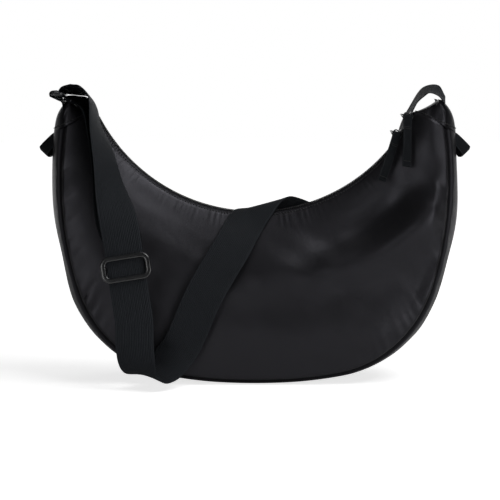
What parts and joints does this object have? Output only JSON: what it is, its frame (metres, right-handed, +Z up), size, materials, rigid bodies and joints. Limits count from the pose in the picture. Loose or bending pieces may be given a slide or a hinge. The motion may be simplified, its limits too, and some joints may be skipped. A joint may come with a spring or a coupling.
{
  "type": "half moon bag",
  "caption": "Crescent shoulder bag with a curved top zip with sliders, a wide webbing strap with an adjuster and ring, tip hoods and side loops.",
  "frame": {"origin": "middle of the flat base that the bag stands on", "axes": "+X to the right tip seen from the front, +Y away from the front panel, +Z up"},
  "size_m": [0.456, 0.1659, 0.3116],
  "materials": {
    "shell_nylon": "satin black nylon, softly shiny",
    "lining_cloth": "thin matt black lining",
    "zip_tape": "matt black woven tape",
    "zip_coil": "black nylon coil",
    "zip_metal": "black enamel, half gloss",
    "pull_webbing": "matt black narrow webbing",
    "strap_webbing": "matt black ribbed webbing",
    "adjuster_plastic": "moulded black plastic, half gloss",
    "ring_metal": "black coated metal",
    "loop_webbing": "matt black narrow webbing"
  },
  "bodies": {
    "bag": {"front_panel": "shell_nylon", "back_panel": "shell_nylon", "gusset": "shell_nylon", "left_tip_cap": "shell_nylon", "right_tip_cap": "shell_nylon", "front_lining": "lining_cloth", "back_lining": "lining_cloth", "gusset_lining": "lining_cloth", "front_zip_tape": "zip_tape", "back_zip_tape": "zip_tape", "front_zip_coil": "zip_coil", "back_zip_coil": "zip_coil", "left_zip_stop": "zip_metal", "right_zip_stop": "zip_metal", "strap_back_run": "strap_webbing", "strap_crossing": "strap_webbing", "strap_left_leg": "strap_webbing", "strap_ring_turn": "strap_webbing", "strap_under_layer": "strap_webbing", "ring_tab": "strap_webbing", "left_side_loop": "loop_webbing", "right_side_loop": "loop_webbing"},
    "right_slider": {"right_slider": "zip_metal"},
    "right_pull_ring": {"right_pull_ring": "zip_metal"},
    "right_pull": {"right_pull_strip": "pull_webbing"},
    "left_slider": {"left_slider": "zip_metal"},
    "left_pull_ring": {"left_pull_ring": "zip_metal"},
    "left_pull": {"left_pull_strip": "pull_webbing"},
    "adjuster": {"strap_adjuster": "adjuster_plastic", "strap_end_loop": "strap_webbing"},
    "ring": {"strap_ring": "ring_metal"}
  },
  "joints": [
    {"name": "right_slider_run", "type": "hinge", "parent": "bag", "child": "right_slider", "pos_m": [0, 0, 0.352], "axis": [0, 1, 0], "range_deg": [0, 20], "deforming": ["front_zip_coil", "back_zip_coil", "strap_crossing"]},
    {"name": "left_slider_run", "type": "hinge", "parent": "right_slider", "child": "left_slider", "pos_m": [0, 0, 0.352], "axis": [0, 1, 0], "range_deg": [0, 70], "deforming": ["front_zip_coil", "back_zip_coil", "strap_crossing"]},
    {"name": "right_pull_ring_lift", "type": "hinge", "parent": "right_slider", "child": "right_pull_ring", "pos_m": [0.1521, 0, 0.27181], "axis": [-0.4664, 0, -0.8846], "range_deg": [0, 90]},
    {"name": "right_pull_swing", "type": "hinge", "parent": "right_pull_ring", "child": "right_pull", "pos_m": [0.15433, -0.01848, 0.26958], "axis": [-0.9442, -0.2939, 0.1485], "range_deg": [0, 80]},
    {"name": "left_pull_ring_lift", "type": "hinge", "parent": "left_slider", "child": "left_pull_ring", "pos_m": [0.14171, 0, 0.25461], "axis": [-0.5664, 0, -0.8241], "range_deg": [0, 90]},
    {"name": "left_pull_swing", "type": "hinge", "parent": "left_pull_ring", "child": "left_pull", "pos_m": [0.14366, -0.01848, 0.25214], "axis": [-0.9205, -0.2939, 0.2577], "range_deg": [0, 80]},
    {"name": "adjuster_slide", "type": "slide", "parent": "bag", "child": "adjuster", "axis": [-0.1517, 0.1776, 0.9723], "range_m": [-0.05, 0.02], "deforming": ["strap_under_layer"]},
    {"name": "strap_ring_tilt", "type": "hinge", "parent": "bag", "child": "ring", "pos_m": [-0.2043, 0, 0.293], "axis": [0, 1, 0], "range_deg": [-20, 20], "deforming": ["strap_ring_turn", "strap_under_layer"]}
  ]
}
